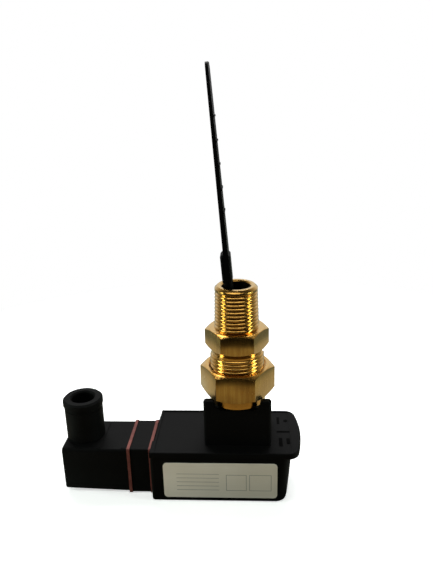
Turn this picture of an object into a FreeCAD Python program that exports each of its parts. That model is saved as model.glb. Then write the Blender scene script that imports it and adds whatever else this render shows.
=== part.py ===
import FreeCAD, Part
import math
import os
import Sketcher

"""Paddle flow switch with a union fitting and a four-pole cable plug.

Frame: millimetres, +Z up, X along the housing with the plug at -X. The origin is where
the axis of the process thread meets the flat base of the housing.
"""

os.makedirs("parts", exist_ok=True)
doc = FreeCAD.newDocument("paddle_flow_switch")

# ---------------------------------------------------------------- driving dimensions
SIZES = {
    # housing tray
    "body_left": 43.2, "body_right": 25.5, "body_draft": 2.1, "body_wide": 39.3, "body_high": 25.4,
    "body_wall": 2.8, "body_floor": 2.4, "end_bow": 2.6, "nose_radius": 72.0, "corner_round": 5.5,
    "heel_round": 1.6,
    "base_round": 1.2, "pillar_round": 3.2, "pillar_split": 16.0, "pillar_gap": 0.15, "nose_wall": 4.6,
    # lid and its neck block
    "lid_overhang": 0.6, "lid_nose": 31.7, "lid_thick": 3.0, "lid_panel_drop": 0.4, "lid_rim": 1.4,
    "lid_nose_rim": 2.6, "lid_edge_round": 0.7, "lid_key": 0.9, "lid_key_start": 9.4,
    "neck_wide": 33.0, "neck_deep": 26.0, "neck_top": 52.6, "neck_corner": 1.6, "neck_edge": 0.9,
    "seat_high": 47.5, "seat_round": 15.3, "notch_low": 8.1, "notch_high": 11.8,
    "notch_middle": 10.6, "notch_rise": 1.5, "neck_wall": 3.2, "shoulder_high": 38.5, "boss_round": 12.4,
    "sleeve_ledge": 40.0, "bracket_post": 3.4, "bracket_post_x": 15.8,
    # lid seal
    "seal_wide": 1.0, "seal_high": 0.8,
    # process adapter
    "mouth_high": 107.7, "thread_small": 20.44, "thread_taper": 0.0625, "adapter_bore": 13.8,
    "mouth_chamfer": 1.2, "adapter_flats": 27.0, "adapter_hex_top": 86.6, "adapter_hex_low": 76.6,
    "male_thread": 26.44, "adapter_low": 57.0, "carrier_bore": 18.8,
    "carrier_top": 73.0, "adapter_turn": 1.7,
    "thread_pitch": 1.814, "thread_deep": 1.162, "crest_flat": 0.3, "thread_start": 1.0,
    "collar_low": 74.5,
    # union nut
    "nut_flats": 32.0, "nut_top": 67.0, "nut_low": 53.0, "nut_collar": 27.8, "nut_collar_low": 47.9,
    "nut_shoulder": 51.3, "nut_thread_low": 56.3, "nut_room": 25.2, "nut_opening": 21.4,
    "nut_turn": -2.3, "thread_gap": 0.08,
    # dividing sleeve
    "flange_low": 51.5, "flange_high": 55.5, "flange_round": 24.8, "sleeve_wide": 20.6,
    "sleeve_narrow": 19.0, "sleeve_bore": 16.2, "sleeve_wall_low": 53.3, "sleeve_low": 23.0,
    "clip_low": 24.35, "clip_thick": 0.9, "clip_groove": 0.6, "clip_reach": 11.9, "clip_mouth": 8.0,
    # paddle
    "pivot_high": 66.3, "paddle_lean": 4.45, "pin_wide": 2.0, "stem_wide": 4.7, "stem_shift": 0.45,
    "stem_flat": 5.0, "slot_half": 2.75, "grip_low": 44.0, "grip_high": 57.2, "grip_wide": 10.0,
    "blade_wide": 12.0, "blade_root": 2.5, "blade_end": 1.3, "blade_low": 47.0, "blade_high": 140.0,
    "mark_first": 76.2, "mark_step": 10.4, "mark_proud": 0.35, "mark_wide": 0.8,
    "paddle_foot": 10.0, "foot_wide": 5.8, "boss_wide": 6.4, "blade_tip": 3.0, "grip_round": 1.2,
    "magnet_wide": 4.4, "magnet_high": 2.6, "dowel_wide": 2.0, "dowel_deep": 1.2, "dowel_long": 3.0,
    # switch lever and micro switch
    "lever_pivot": 26.0, "lever_lean": 1.9, "lever_thick": 2.2, "lever_wide": 4.0, "lever_top": 26.8,
    "lever_foot": 11.4, "lever_hub": 5.2, "cup_wide": 6.2, "cup_high": 3.4, "cheek_in": 3.2,
    "cheek_thick": 2.0, "cheek_long": 6.4, "bracket_top": 21.8, "bracket_thick": 2.0,
    "bracket_long": 38.6, "bracket_wide": 13.0, "switch_face": 1.9, "switch_deep": 7.0,
    "switch_thick": 5.8, "switch_low": 6.4, "switch_high": 12.8, "plunger_high": 16.0,
    "plunger_wide": 1.8, "plunger_proud": 1.1, "plunger_long": 3.2,
    # connector block, gaskets and pins
    "line_high": 13.1, "gasket_thick": 1.5, "gasket_proud": 0.4, "gasket_round": 1.0, "block_long": 9.5,
    "plug_wide": 27.6,
    "plug_high": 25.4, "block_round": 0.8, "spigot_margin": 1.4, "spigot_long": 5.0, "blade_tail": 2.0,
    "contact_inset_y": 2.6, "contact_inset_z": 1.5, "terminal_inset": 1.0, "terminal_head": 4.4,
    "blade_pin": 6.3, "blade_pin_thick": 0.8, "pin_reach": 12.3,
    "block_screw_y": 10.3, "block_screw_z": 8.9,
    # plug
    "plug_long": 33.2, "plug_wall": 2.2, "plug_round": 2.0, "plug_rise": 1.3, "plug_flange": 3.1,
    "plug_step": 0.35, "plug_waist": 10.3, "plug_end": 2.6, "carrier_long": 15.3,
    "gland_x": 79.4, "gland_wide": 19.3, "gland_top": 42.6, "gland_bore": 15.2, "gland_ledge": 24.6,
    "gland_head": 20.2, "gland_head_high": 5.1, "gland_rim": 3.7, "gland_hole": 11.6,
    "gland_shank": 8.2, "washer_thick": 1.1, "grommet_hole": 8.0,
    # screws
    "screw_wide": 3.0, "head_wide": 5.5, "head_high": 2.0, "slot_wide": 0.9, "slot_deep": 0.9,
    # rating plate
    "plate_left": 36.8, "plate_right": 19.3, "plate_low": 2.6, "plate_high": 22.5, "plate_thick": 0.3,
    "plate_round": 2.0,
    # clearances
    "running_gap": 0.05, "fit_gap": 0.05,
}

sheet = doc.addObject("Spreadsheet::Sheet", "sizes")
for row, (alias, value) in enumerate(SIZES.items(), start=1):
    sheet.set(f"A{row}", alias)
    sheet.set(f"B{row}", str(value))
    sheet.setAlias(f"B{row}", alias)
doc.recompute()


class Size:
    """A length that carries its number and the sheet expression it comes from."""

    def __init__(self, number, text):
        self.number = float(number)
        self.text = text

    def __add__(self, other):
        other = as_size(other)
        return Size(self.number + other.number, f"({self.text} + {other.text})")

    def __sub__(self, other):
        other = as_size(other)
        return Size(self.number - other.number, f"({self.text} - {other.text})")

    def __mul__(self, factor):
        factor = as_size(factor)
        return Size(self.number * factor.number, f"({self.text} * {factor.text})")

    def __truediv__(self, other):
        other = as_size(other)
        return Size(self.number / other.number, f"({self.text} / {other.text})")

    def __neg__(self):
        return Size(-self.number, f"(0 - {self.text})")

    def __radd__(self, other):
        return as_size(other) + self

    def __rsub__(self, other):
        return as_size(other) - self

    def __rmul__(self, other):
        return as_size(other) * self


def as_size(value):
    if isinstance(value, Size):
        return value
    return Size(value, repr(float(value)))


class Sheet:
    """Reads a cell of the sheet by its alias."""

    def __getattr__(self, alias):
        return Size(SIZES[alias], f"sizes.{alias}")


s = Sheet()
ACROSS_CORNERS = 2 / math.sqrt(3)


class Piece:
    """One sub-part: a PartDesign body whose sketches and features are bound to the sheet."""

    def __init__(self, label, at=(0, 0, 0), axis=(0, 0, 1), angle=0):
        self.body = doc.addObject("PartDesign::Body", label)
        self.body.Label = label
        self.label = label
        turn = FreeCAD.Rotation(FreeCAD.Vector(*axis), as_size(angle).number)
        spot = [as_size(value) for value in at]
        self.body.Placement = FreeCAD.Placement(FreeCAD.Vector(*[c.number for c in spot]), turn)
        for name, coordinate in zip("xyz", spot):
            self.body.setExpression(f"Placement.Base.{name}", coordinate.text)

    def new(self, kind):
        return self.body.newObject(kind, f"{self.label}_{kind.split('::')[1]}")

    def sketch(self, plane, loops, lift=0):
        """Closed loops on an origin plane: a list of corners, or (x, y, radius) for a circle."""
        sketch = self.new("Sketcher::SketchObject")
        support = [item for item in self.body.Origin.OriginFeatures if item.Role == f"{plane}_Plane"]
        sketch.AttachmentSupport = [(support[0], "")]
        sketch.MapMode = "FlatFace"
        lift = as_size(lift)
        sketch.AttachmentOffset = FreeCAD.Placement(
            FreeCAD.Vector(0, 0, lift.number), FreeCAD.Rotation())
        sketch.setExpression("AttachmentOffset.Base.z", lift.text)
        for loop in loops:
            if isinstance(loop, tuple):
                draw_circle(sketch, *loop)
            else:
                draw_polygon(sketch, loop)
        return sketch

    def extrude(self, kind, sketch, length, both=False, forward=True):
        before = self.volume()
        feature = self.new(kind)
        feature.Profile = sketch
        length = as_size(length)
        feature.Length = length.number
        feature.setExpression("Length", length.text)
        feature.Midplane = both
        feature.Reversed = forward if kind == "PartDesign::Pocket" else not forward
        doc.recompute()
        self.compare(feature, before)
        return feature

    def pad(self, plane, loops, length, lift=0, both=False):
        return self.extrude("PartDesign::Pad", self.sketch(plane, loops, lift), length, both)

    def cut(self, plane, loops, length, lift=0, both=False):
        return self.extrude("PartDesign::Pocket", self.sketch(plane, loops, lift), length, both)

    def revolve(self, kind, points, axis_x):
        """Turns a closed profile about the upright line at axis_x."""
        before = self.volume()
        sketch = self.sketch("XZ", [points])
        axis = sketch.addGeometry(Part.LineSegment(
            FreeCAD.Vector(as_size(axis_x).number, 0, 0),
            FreeCAD.Vector(as_size(axis_x).number, 1, 0)), True)
        fix_point(sketch, axis, 1, axis_x, 0)
        fix_point(sketch, axis, 2, axis_x, 1)
        feature = self.new(kind)
        feature.Profile = sketch
        feature.ReferenceAxis = (sketch, ["Axis0"])
        feature.Angle = 360
        doc.recompute()
        self.compare(feature, before)
        return feature

    def spin(self, points, axis_x=0):
        return self.revolve("PartDesign::Revolution", points, axis_x)

    def groove(self, points, axis_x=0):
        return self.revolve("PartDesign::Groove", points, axis_x)

    def soften(self, kind, size, test):
        """Fillets or chamfers the edges of the tip that pass the test."""
        base = self.body.Tip
        names = [f"Edge{i}" for i, edge in enumerate(base.Shape.Edges, start=1) if test(edge)]
        if not names:
            raise ValueError(f"{self.label}: no edge to soften")
        feature = self.new(kind)
        feature.Base = (base, names)
        which = "Radius" if kind.endswith("Fillet") else "Size"
        size = as_size(size)
        setattr(feature, which, size.number)
        feature.setExpression(which, size.text)
        doc.recompute()
        check_built(self.label, feature)
        return feature

    def fillet(self, size, test):
        return self.soften("PartDesign::Fillet", size, test)

    def chamfer(self, size, test):
        return self.soften("PartDesign::Chamfer", size, test)

    def volume(self):
        tip = self.body.Tip
        return tip.Shape.Volume if tip and not tip.Shape.isNull() else 0.0

    def compare(self, feature, before):
        """A cut that removes nothing or a pad that adds nothing is a mistake."""
        check_built(self.label, feature)
        change = feature.Shape.Volume - before
        removes = feature.TypeId in ("PartDesign::Pocket", "PartDesign::Groove")
        if change >= 0 if removes else change <= 0:
            raise ValueError(f"{self.label}: {feature.Name} changes {change:.3f} mm3")


def check_built(label, feature):
    if "Invalid" in feature.State or feature.Shape.isNull():
        raise ValueError(f"{label}: {feature.Name} was not built")


def fix_point(sketch, geometry, end, x, y):
    """Holds one end of a sketch line, or a circle's centre, at sheet-bound coordinates."""
    for kind, axis, value in (("DistanceX", -2, as_size(x)), ("DistanceY", -1, as_size(y))):
        if value.text == "0.0":
            sketch.addConstraint(Sketcher.Constraint("PointOnObject", geometry, end, axis))
        elif value.number >= 0:
            rule = Sketcher.Constraint(kind, -1, 1, geometry, end, value.number)
            index = sketch.addConstraint(rule)
            sketch.setExpression(f"Constraints[{index}]", value.text)
        else:
            rule = Sketcher.Constraint(kind, geometry, end, -1, 1, -value.number)
            index = sketch.addConstraint(rule)
            sketch.setExpression(f"Constraints[{index}]", (-value).text)


def draw_polygon(sketch, corners):
    first = sketch.GeometryCount
    spots = [FreeCAD.Vector(as_size(x).number, as_size(y).number, 0) for x, y in corners]
    count = len(spots)
    for i in range(count):
        sketch.addGeometry(Part.LineSegment(spots[i], spots[(i + 1) % count]), False)
    for i in range(count):
        follower = first + (i + 1) % count
        sketch.addConstraint(Sketcher.Constraint("Coincident", first + i, 2, follower, 1))
    for i, (x, y) in enumerate(corners):
        fix_point(sketch, first + i, 1, x, y)


def draw_circle(sketch, x, y, radius):
    x, y, radius = as_size(x), as_size(y), as_size(radius)
    centre = FreeCAD.Vector(x.number, y.number, 0)
    circle = Part.Circle(centre, FreeCAD.Vector(0, 0, 1), radius.number)
    index = sketch.addGeometry(circle, False)
    fix_point(sketch, index, 3, x, y)
    rule = sketch.addConstraint(Sketcher.Constraint("Radius", index, radius.number))
    sketch.setExpression(f"Constraints[{rule}]", radius.text)


def rectangle(left, low, right, high):
    return [(left, low), (right, low), (right, high), (left, high)]


def centred(half_wide, half_high, x=0, y=0):
    return rectangle(x - half_wide, y - half_high, x + half_wide, y + half_high)


def hexagon(flats):
    corner = flats * (ACROSS_CORNERS / 2)
    return [(corner, 0), (corner / 2, flats / 2), (-corner / 2, flats / 2),
            (-corner, 0), (-corner / 2, -flats / 2), (corner / 2, -flats / 2)]


def bounds(edge):
    return edge.BoundBox


def runs_along(axis):
    """Test for straight edges that lie along one axis."""
    def test(edge):
        box = bounds(edge)
        spans = {"x": box.XLength, "y": box.YLength, "z": box.ZLength}
        others = [span for name, span in spans.items() if name != axis]
        return spans[axis] > 0.2 and max(others) < 0.01
    return test


def lies_at(axis, level, reach=0.01):
    """Test for edges that lie wholly in the plane axis = level."""
    level = as_size(level).number

    def test(edge):
        box = bounds(edge)
        low, high = getattr(box, f"{axis}Min"), getattr(box, f"{axis}Max")
        return abs(low - level) < reach and abs(high - level) < reach
    return test


def both_tests(*tests):
    return lambda edge: all(test(edge) for test in tests)


PIECES = {}


def keep(piece):
    """Marks a piece, or a group of equal pieces, as a sub-part that gets its own file."""
    if isinstance(piece, Piece):
        PIECES[piece.label] = piece.body
    else:
        PIECES[piece.Label] = piece
    return piece


def group(label, pieces):
    compound = doc.addObject("Part::Compound", label)
    compound.Label = label
    compound.Links = [piece.body for piece in pieces]
    return keep(compound)


# ---------------------------------------------------------------- shared places
half_wide = s.body_wide / 2
lid_top = s.body_high + s.lid_thick
panel_high = lid_top - s.lid_panel_drop
split_high = s.pillar_split
gasket_back = -s.body_left - s.gasket_thick
block_end = gasket_back - s.block_long
plug_face = block_end - s.gasket_thick
plug_back = plug_face - s.plug_long
line = s.line_high
room_left = -s.body_left + s.body_wall
room_right = s.body_right - s.nose_wall
room_half = half_wide - s.body_wall
pillar_inset = s.pillar_round + s.pillar_gap
spigot_end = gasket_back + s.gasket_thick + s.spigot_long
blade_end = spigot_end + s.blade_tail
pillars = [(x, y) for x in (blade_end + pillar_inset, room_right - pillar_inset)
           for y in (pillar_inset - room_half, room_half - pillar_inset)]
contact_y = s.plug_wide / 2 - s.plug_wall - s.contact_inset_y
contact_z = s.plug_high / 2 - s.plug_wall - s.contact_inset_z
spigot_round = contact_y + s.spigot_margin


def bow_nose(piece, low_x, low_z, high_x, high_z):
    """Cuts the nose to an arc in plan; the two ends of the profile give it its draft."""
    beyond = s.lid_nose + 5
    piece.groove([(low_x, low_z), (beyond, low_z), (beyond, high_z), (high_x, high_z)],
                 high_x - s.nose_radius)


def seal_path(grow):
    """The lid seal runs along the middle of the tray's rim; grow moves it outwards."""
    inset = s.body_wall / 2 - grow
    return rectangle(-s.body_left + inset, -half_wide + inset,
                     s.body_right + s.body_draft - s.end_bow - inset, half_wide - inset)


# ---------------------------------------------------------------- housing
def make_housing_body():
    tray = Piece("housing_body")
    tray.pad("XY", [rectangle(-s.body_left, -half_wide, s.lid_nose, half_wide)], s.body_high)
    bow_nose(tray, s.body_right, 0, s.body_right + s.body_draft, s.body_high)
    middle = (s.body_right / 2).number

    def nose_corner(edge):
        box = bounds(edge)
        return box.ZLength > 20 and box.XMin > middle

    def heel(edge):
        box = bounds(edge)
        return box.ZLength > 20 and box.XMax < -s.body_left.number + 0.1
    tray.fillet(s.corner_round, nose_corner)
    tray.fillet(s.heel_round, heel)
    tray.fillet(s.base_round, lies_at("Z", 0))
    room = rectangle(room_left, -room_half, room_right, room_half)
    tray.cut("XY", [room], s.body_high, s.body_floor)
    tray.pad("XY", [(x, y, s.pillar_round) for x, y in pillars],
             split_high - s.body_floor, s.body_floor)
    tray.cut("XY", [(x, y, s.screw_wide / 2 + 0.15) for x, y in pillars], split_high + 1, -0.5)
    tray.cut("XY", [(x, y, s.head_wide / 2 + 0.2) for x, y in pillars], s.head_high + 0.8)
    tray.cut("XY", [seal_path(s.seal_wide / 2), seal_path(-s.seal_wide / 2)],
             s.seal_high + 1, s.body_high - s.seal_high)
    tray.cut("YZ", [(0, line, spigot_round + s.fit_gap)], s.body_wall + 1, -s.body_left - 0.5)
    tray.cut("YZ", [(y, z, s.screw_wide / 2 + s.fit_gap) for y, z in block_screw_places()],
             s.body_wall + 1, -s.body_left - 0.5)
    return keep(tray)


def block_screw_places():
    return [(side * s.block_screw_y, line + rise * s.block_screw_z)
            for side in (-1, 1) for rise in (-1, 1)]


def make_housing_lid():
    lid = Piece("housing_lid")
    half = half_wide + s.lid_overhang
    left = -s.body_left + s.lid_key
    outline = [(-s.body_left, -half), (s.lid_nose + 1, -half), (s.lid_nose + 1, half),
               (left, half), (left, -s.lid_key_start), (-s.body_left, -s.lid_key_start)]
    lid.pad("XY", [outline], s.lid_thick, s.body_high)
    bow_nose(lid, s.lid_nose, s.body_high - 1, s.lid_nose, lid_top + 1)

    def nose_corner(edge):
        return runs_along("z")(edge) and bounds(edge).XMin > (s.lid_nose / 2).number
    lid.fillet(s.corner_round, nose_corner)
    lid.fillet(s.lid_edge_round, lies_at("Z", lid_top))
    rim = s.lid_rim
    panel = rectangle(left + rim, rim - half, s.lid_nose - s.end_bow - s.lid_nose_rim, half - rim)
    lid.cut("XY", [panel], s.lid_panel_drop + 1, panel_high)
    lid.pad("XY", [centred(s.neck_wide / 2, s.neck_deep / 2)], s.neck_top - panel_high, panel_high)

    def neck_edge(edge):
        box = bounds(edge)
        inside = abs(box.XMax) < s.neck_wide.number / 2 + 0.1
        rises = box.ZMax > s.neck_top.number - 0.1
        return box.ZMin > panel_high.number - 0.1 and runs_along("z")(edge) and rises and inside
    lid.fillet(s.neck_corner, neck_edge)
    lid.fillet(s.neck_edge, lies_at("Z", s.neck_top))
    above = s.neck_top + 1
    lid.cut("YZ", [rectangle(s.neck_wall - s.neck_deep / 2, s.shoulder_high, s.neck_deep / 2 + 1, above)],
            s.neck_wide + 4, both=True)
    lid.pad("XY", [(0, 0, s.boss_round)], s.seat_high - s.shoulder_high, s.shoulder_high)
    notch = [(-s.notch_low, s.seat_high), (s.notch_low, s.seat_high),
             (s.notch_middle, s.seat_high + s.notch_rise), (s.notch_high, above), (-s.notch_high, above),
             (-s.notch_middle, s.seat_high + s.notch_rise)]
    lid.cut("XZ", [notch], s.neck_deep + 4, both=True)
    lid.groove([(0, s.seat_high), (s.seat_round, s.seat_high), (s.seat_round, s.neck_top + 1),
                (0, s.neck_top + 1)])
    bore = s.sleeve_wide / 2 + s.fit_gap
    narrow = s.sleeve_narrow / 2 + s.fit_gap
    lid.groove([(0, s.body_high - 1), (narrow, s.body_high - 1), (narrow, s.sleeve_ledge),
                (bore, s.sleeve_ledge), (bore, s.seat_high + 1), (0, s.seat_high + 1)])
    lid.pad("XY", [(x, y, s.pillar_round) for x, y in pillars], s.body_high - split_high, split_high)
    posts = [(side * s.bracket_post_x, 0, s.bracket_post) for side in (-1, 1)]
    lid.pad("XY", posts, s.body_high - s.bracket_top, s.bracket_top)
    lid.cut("XY", [(x, y, s.screw_wide / 2 + s.fit_gap) for x, y in pillars],
            s.body_high + 1.2 - split_high, split_high)
    lid.cut("XY", [(x, y, s.screw_wide / 2 + s.fit_gap) for x, y, r in posts],
            s.body_high + 1.2 - s.bracket_top, s.bracket_top)
    return keep(lid)


def make_lid_seal():
    seal = Piece("lid_seal")
    seal.pad("XY", [seal_path(s.seal_wide / 2 - s.fit_gap), seal_path(s.fit_gap - s.seal_wide / 2)],
             s.seal_high, s.body_high - s.seal_high)
    return keep(seal)


def make_rating_plate():
    plate = Piece("rating_plate")
    plate.pad("XZ", [rectangle(-s.plate_left, s.plate_low, s.plate_right, s.plate_high)],
              s.plate_thick, half_wide)
    plate.fillet(s.plate_round, runs_along("y"))
    return keep(plate)


def screw(label, at, axis, angle, length, head=None, head_high=None):
    """A pan-head screw: head on +Z above its seat at z = 0, shank down to -length."""
    piece = Piece(label, at, axis, angle)
    head = (head or s.head_wide) / 2
    high = head_high or s.head_high
    shank = s.screw_wide / 2
    piece.spin([(0, -length), (shank - 0.4, -length), (shank, 0.4 - length), (shank, 0), (head, 0),
                (head, high - 0.5), (head - 0.5, high), (0, high)])
    piece.cut("XY", [centred(head + 1, s.slot_wide / 2)], s.slot_deep + 1, high - s.slot_deep)
    return piece


def make_housing_screws():
    seat = s.head_high + 0.8
    length = s.body_high - seat + 0.8
    screws = [screw(f"housing_screw_{i}", (x, y, seat), (1, 0, 0), 180, length)
              for i, (x, y) in enumerate(pillars)]
    return group("housing_screws", screws)


# ---------------------------------------------------------------- process side
def thread_rings(radius, low, count, taper):
    """A screw thread as plain rings, one to a pitch: flat crests with a V between them."""
    points = []
    valley = (s.thread_pitch - s.crest_flat) / 2
    for i in range(count):
        start = s.thread_pitch * i
        points += [(radius - start * taper, low + start),
                   (radius - (start + valley) * taper - s.thread_deep, low + start + valley),
                   (radius - (start + valley * 2) * taper, low + start + valley * 2)]
    return points


def make_process_adapter():
    fitting = Piece("process_adapter", angle=s.adapter_turn)
    low, top = s.adapter_hex_low, s.adapter_hex_top
    fitting.pad("XY", [hexagon(s.adapter_flats)], top - low, low)
    bevel_hexagon(fitting, s.adapter_flats, low, top)
    mouth = s.thread_small / 2
    foot = mouth + (s.mouth_high - top) * s.thread_taper / 2
    male = s.male_thread / 2
    bore = s.adapter_bore / 2
    taper = s.thread_taper / 2
    shown = (s.collar_low - s.nut_top).number
    parallel = thread_rings(male, s.collar_low - s.thread_pitch * int(shown / s.thread_pitch.number + 0.5),
                            int(shown / s.thread_pitch.number + 0.5), s.thread_taper * 0)
    room = (s.mouth_high - s.mouth_chamfer - top - s.thread_start).number
    conical = thread_rings(foot - s.thread_start * taper, top + s.thread_start,
                           int(room / s.thread_pitch.number), taper)
    fitting.spin([(0, s.adapter_low), (male - 1, s.adapter_low), (male, s.adapter_low + 1)]
                 + parallel + [(male, low + 0.5), (foot, low + 0.5), (foot, top)] + conical
                 + [(mouth + s.mouth_chamfer * taper, s.mouth_high - s.mouth_chamfer),
                    (mouth - s.mouth_chamfer, s.mouth_high), (0, s.mouth_high)])
    seat = s.carrier_bore / 2
    fitting.groove([(0, s.adapter_low - 1), (seat, s.adapter_low - 1), (seat, s.carrier_top),
                    (bore, s.carrier_top), (bore, s.mouth_high - 0.6), (bore + 0.6, s.mouth_high),
                    (bore + 0.6, s.mouth_high + 1), (0, s.mouth_high + 1)])
    return keep(fitting)


def bevel_hexagon(piece, flats, low, top):
    """Turns both ends of a hexagon down to a thirty-degree cone, as a lathe leaves them."""
    inner, outer = flats / 2 * 0.985, flats * 0.62
    drop = (outer - inner) * math.tan(math.radians(30))
    piece.groove([(inner, top), (outer, top - drop), (outer, top + 1), (inner, top + 1)])
    piece.groove([(inner, low), (outer, low + drop), (outer, low - 1), (inner, low - 1)])


def make_union_nut():
    nut = Piece("union_nut", angle=s.nut_turn)
    nut.pad("XY", [hexagon(s.nut_flats)], s.nut_top - s.nut_low, s.nut_low)
    bevel_hexagon(nut, s.nut_flats, s.nut_low, s.nut_top)
    collar = s.nut_collar / 2
    nut.spin([(0, s.nut_collar_low), (collar - 0.8, s.nut_collar_low),
              (collar, s.nut_collar_low + 0.8), (collar, s.nut_low + 1), (0, s.nut_low + 1)])
    opening, room = s.nut_opening / 2, s.nut_room / 2
    thread = s.male_thread / 2 + s.thread_gap
    nut.groove([(0, s.nut_collar_low - 1), (opening, s.nut_collar_low - 1), (opening, s.nut_shoulder),
                (room, s.nut_shoulder), (room, s.nut_thread_low), (thread, s.nut_thread_low + 0.7),
                (thread, s.nut_top - 1), (thread + 1, s.nut_top), (thread + 1, s.nut_top + 1),
                (0, s.nut_top + 1)])
    return keep(nut)


def ring(label, inner, outer, low, high, at=(0, 0, 0), axis=(0, 0, 1), angle=0):
    piece = Piece(label, at, axis, angle)
    piece.spin([(inner, low), (outer, low), (outer, high), (inner, high)])
    return piece


def make_union_seal():
    return keep(ring("union_seal", s.carrier_bore / 2 + 0.3, s.flange_round / 2,
                     s.flange_high, s.adapter_low - s.running_gap))


def make_dividing_sleeve():
    sleeve = Piece("dividing_sleeve")
    wide, narrow, bore = s.sleeve_wide / 2, s.sleeve_narrow / 2, s.sleeve_bore / 2
    flange = s.flange_round / 2
    groove = narrow - s.clip_groove
    clip_high = s.clip_low + s.clip_thick
    sleeve.spin([(bore, s.sleeve_low), (narrow, s.sleeve_low), (narrow, s.clip_low),
                 (groove, s.clip_low), (groove, clip_high), (narrow, clip_high),
                 (narrow, s.sleeve_ledge), (wide, s.sleeve_ledge), (wide, s.flange_low),
                 (flange, s.flange_low), (flange, s.flange_high), (0, s.flange_high),
                 (0, s.sleeve_wall_low), (bore, s.sleeve_wall_low)])
    sleeve.cut("XY", dowel_circles(), s.dowel_deep + 1, s.flange_high - s.dowel_deep)
    return keep(sleeve)


def make_sleeve_clip():
    inner = s.sleeve_narrow / 2 - s.clip_groove + s.fit_gap
    clip = ring("sleeve_clip", inner, s.clip_reach, s.clip_low + s.fit_gap,
                s.clip_low + s.clip_thick - s.fit_gap)
    clip.cut("XY", [rectangle(0, -s.clip_mouth / 2, s.clip_reach + 1, s.clip_mouth / 2)],
             s.clip_thick + 1, s.clip_low - 0.5)
    return keep(clip)


def make_paddle_carrier():
    carrier = Piece("paddle_carrier")
    outer = s.carrier_bore / 2 - s.running_gap
    low, high = s.flange_high, s.carrier_top - s.running_gap
    carrier.pad("XY", [(0, 0, outer)], high - low, low)
    carrier.cut("XY", [centred(outer - 2.2, s.slot_half)], high, low - 1)
    carrier.cut("XZ", [(0, s.pivot_high, s.pin_wide / 2 + s.fit_gap)], outer * 2 + 2, both=True)
    carrier.cut("XY", dowel_circles(), s.dowel_long - s.dowel_deep + 1.1, low - 1)
    return keep(carrier)


def dowel_circles(grow=None):
    """Two dowels beside the slot keep the paddle square to the switch lever."""
    radius = s.dowel_wide / 2 + (s.fit_gap if grow is None else grow)
    return [(0, side * (s.carrier_bore / 2 - 2.6), radius) for side in (-1, 1)]


def make_carrier_dowels():
    dowels = []
    for i, (x, y, radius) in enumerate(dowel_circles(0)):
        dowel = Piece(f"carrier_dowel_{i}")
        dowel.pad("XY", [(x, y, radius)], s.dowel_long, s.flange_high - s.dowel_deep)
        dowels.append(dowel)
    return group("carrier_dowels", dowels)


def pin(label, high, half_long):
    piece = Piece(label, (0, 0, high), (1, 0, 0), 90)
    radius = s.pin_wide / 2
    piece.spin([(0, -half_long), (radius - 0.2, -half_long), (radius, 0.2 - half_long),
                (radius, half_long - 0.2), (radius - 0.2, half_long), (0, half_long)])
    return keep(piece)


# The paddle pieces share a frame at the pivot, upright, and lean together.
def paddle_piece(label):
    return Piece(label, (0, 0, s.pivot_high), (0, 1, 0), -s.paddle_lean)


def blade_outline(grow=0):
    root, end = s.blade_root / 2 + grow, s.blade_end / 2
    return [(-root, s.blade_low - grow), (root, s.blade_low - grow), (end + grow, s.blade_high),
            (-end - grow, s.blade_high)]


def make_paddle_holder():
    holder = paddle_piece("paddle_holder")
    radius = s.stem_wide / 2
    holder.pad("XY", [(-s.stem_shift, 0, radius)], s.grip_low + 2, -2)
    holder.pad("XY", [centred(radius, s.grip_wide / 2, -s.stem_shift)],
               s.grip_high - s.grip_low, s.grip_low)
    holder.fillet(s.grip_round, both_tests(runs_along("z"), lambda e: bounds(e).ZMin > s.grip_low.number - 1))
    holder.chamfer(0.9, lies_at("Z", s.grip_high))
    holder.pad("XZ", [(0, 0, s.boss_wide / 2)], s.stem_flat, both=True)
    foot = s.paddle_foot
    foot_half = s.foot_wide / 2
    holder.pad("XZ", [rectangle(-foot_half, -foot, foot_half, 0)], s.stem_flat, both=True)
    holder.cut("XY", [(0, 0, s.magnet_wide / 2 + s.fit_gap)], s.magnet_high + s.fit_gap + 1, -foot - 1)
    holder.cut("XZ", [(0, 0, s.pin_wide / 2 + s.running_gap)], s.stem_flat + 2, both=True)
    holder.cut("XZ", [blade_outline(s.fit_gap)], s.blade_wide + 2, both=True)
    return keep(holder)


def make_paddle_blade():
    blade = paddle_piece("paddle_blade")
    blade.pad("XZ", [blade_outline()], s.blade_wide, both=True)

    def tip_corner(edge):
        box = bounds(edge)
        return box.ZMin > s.blade_high.number - 0.1 and box.YLength < 0.1
    blade.fillet(s.blade_tip, tip_corner)
    for i in range(5):
        low = s.mark_first + i * s.mark_step
        fall = (s.blade_root - s.blade_end) / (s.blade_high - s.blade_low) / 2
        face = s.blade_root / 2 - (low - s.blade_low) * fall
        blade.pad("XZ", [rectangle(0, low, face + s.mark_proud, low + s.mark_wide)],
                  s.blade_wide - 1, both=True)
    return keep(blade)


def make_paddle_magnet():
    magnet = paddle_piece("paddle_magnet")
    magnet.pad("XY", [(0, 0, s.magnet_wide / 2)], s.magnet_high, -s.paddle_foot)
    return keep(magnet)


# ---------------------------------------------------------------- switch side
def lever_piece(label):
    return Piece(label, (0, 0, s.lever_pivot), (0, 1, 0), s.lever_lean)


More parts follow.
